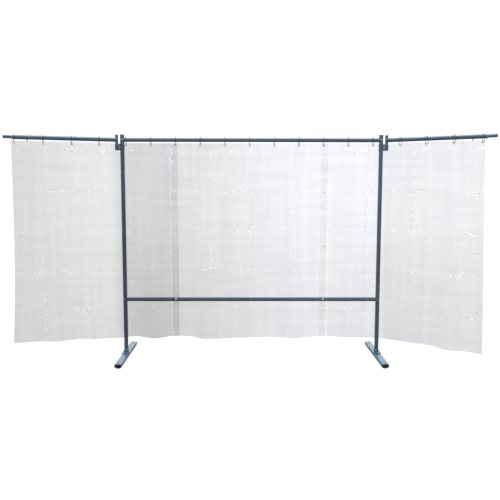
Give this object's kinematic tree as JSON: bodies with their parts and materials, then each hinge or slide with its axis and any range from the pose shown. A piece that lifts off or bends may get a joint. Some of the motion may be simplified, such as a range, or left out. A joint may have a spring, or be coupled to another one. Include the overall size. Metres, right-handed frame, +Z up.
{
  "type": "welding curtain screen",
  "caption": "Free-standing welding screen: posts on long feet, top tube and crossbar, hinged side arms with pull-out ends, clear PVC sheets hung on rings.",
  "frame": {"origin": "on the floor, midway between the two posts and in their plane", "axes": "+Z up, +X to the right along the top tube, -Y the front where the sheets hang"},
  "size_m": [4.1449, 0.9619, 2.057],
  "materials": {
    "frame_paint": "gloss blue-grey powder coat",
    "black_plastic": "moulded black polyethylene",
    "rubber": "moulded black rubber",
    "zinc_steel": "bright zinc plating",
    "nylon": "natural nylon",
    "white_plastic": "moulded white acetal",
    "clear_pvc": "clear soft PVC film, slightly creased"
  },
  "bodies": {
    "frame": {"crossbar": "frame_paint", "frame_eyelets": "zinc_steel", "frame_rings": "zinc_steel", "frame_studs": "white_plastic", "left_base_bolts": "zinc_steel", "left_base_plate": "frame_paint", "left_foot_end_plugs": "black_plastic", "left_foot_pads": "rubber", "left_foot_tube": "frame_paint", "left_hinge_pin": "zinc_steel", "left_hinge_straps": "frame_paint", "left_lower_knuckle": "frame_paint", "left_pad_screws": "zinc_steel", "left_post": "frame_paint", "left_post_cap": "black_plastic", "left_sheet_on_frame": "clear_pvc", "left_strap_bolts": "zinc_steel", "left_thrust_washer": "nylon", "middle_sheet": "clear_pvc", "right_base_bolts": "zinc_steel", "right_base_plate": "frame_paint", "right_foot_end_plugs": "black_plastic", "right_foot_pads": "rubber", "right_foot_tube": "frame_paint", "right_hinge_pin": "zinc_steel", "right_hinge_straps": "frame_paint", "right_lower_knuckle": "frame_paint", "right_pad_screws": "zinc_steel", "right_post": "frame_paint", "right_post_cap": "black_plastic", "right_sheet_on_frame": "clear_pvc", "right_strap_bolts": "zinc_steel", "right_thrust_washer": "nylon", "spigot_bolts": "zinc_steel", "top_tube": "frame_paint", "tube_spigots": "zinc_steel"},
    "left_arm": {"left_arm_bushes": "nylon", "left_arm_eyelets": "zinc_steel", "left_arm_rings": "zinc_steel", "left_arm_studs": "white_plastic", "left_arm_tube": "frame_paint", "left_knuckle_cap": "black_plastic", "left_lock_screw": "zinc_steel", "left_sheet_on_arm": "clear_pvc", "left_upper_knuckle": "frame_paint"},
    "left_extension": {"left_extension_cap": "black_plastic", "left_extension_tube": "frame_paint"},
    "right_arm": {"right_arm_bushes": "nylon", "right_arm_eyelets": "zinc_steel", "right_arm_rings": "zinc_steel", "right_arm_studs": "white_plastic", "right_arm_tube": "frame_paint", "right_knuckle_cap": "black_plastic", "right_lock_screw": "zinc_steel", "right_sheet_on_arm": "clear_pvc", "right_upper_knuckle": "frame_paint"},
    "right_extension": {"right_extension_cap": "black_plastic", "right_extension_tube": "frame_paint"}
  },
  "joints": [
    {"name": "left_arm_swing", "type": "hinge", "parent": "frame", "child": "left_arm", "pos_m": [-1.225, 0, 1.9745], "axis": [0, 0, 1], "range_deg": [-111, 69]},
    {"name": "right_arm_swing", "type": "hinge", "parent": "frame", "child": "right_arm", "pos_m": [1.225, 0, 1.9745], "axis": [0, 0, -1], "range_deg": [-125, 55]},
    {"name": "left_end_pull", "type": "slide", "parent": "left_arm", "child": "left_extension", "axis": [-0.9336, -0.3584, 0], "range_m": [-0.06, 0.15]},
    {"name": "right_end_pull", "type": "slide", "parent": "right_arm", "child": "right_extension", "axis": [0.8192, -0.5736, 0], "range_m": [-0.06, 0.15]}
  ]
}
